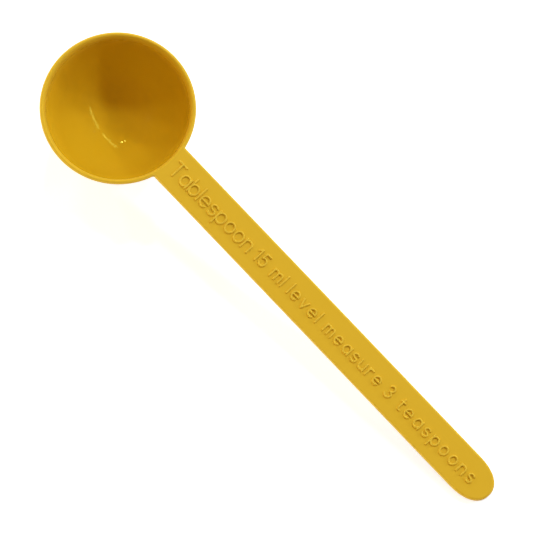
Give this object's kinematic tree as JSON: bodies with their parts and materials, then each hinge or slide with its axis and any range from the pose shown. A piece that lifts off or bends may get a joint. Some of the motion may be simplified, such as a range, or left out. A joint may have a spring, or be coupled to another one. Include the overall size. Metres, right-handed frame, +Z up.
{
  "type": "measuring scoop",
  "caption": "Round measuring scoop with a hemispherical bowl, a beaded rim and a long flat handle level with the rim, for levelling off dry powder.",
  "frame": {"origin": "bottom centre of the bounding box, on the level surface that the scoop lies on", "axes": "+X from the bowl towards the tip of the handle, +Z up from the surface, +Y to the left when looking along +X. The mouth and the handle slope down towards +X by about 7.5 degrees, as the scoop lies on its bowl and its tip."},
  "size_m": [0.1624, 0.0416, 0.023],
  "materials": {
    "yellow_plastic": "opaque warm yellow polypropylene as moulded, glossy inside the bowl and satin on the handle"
  },
  "bodies": {
    "root": {"bowl": "yellow_plastic", "rim": "yellow_plastic", "handle": "yellow_plastic"}
  },
  "joints": []
}
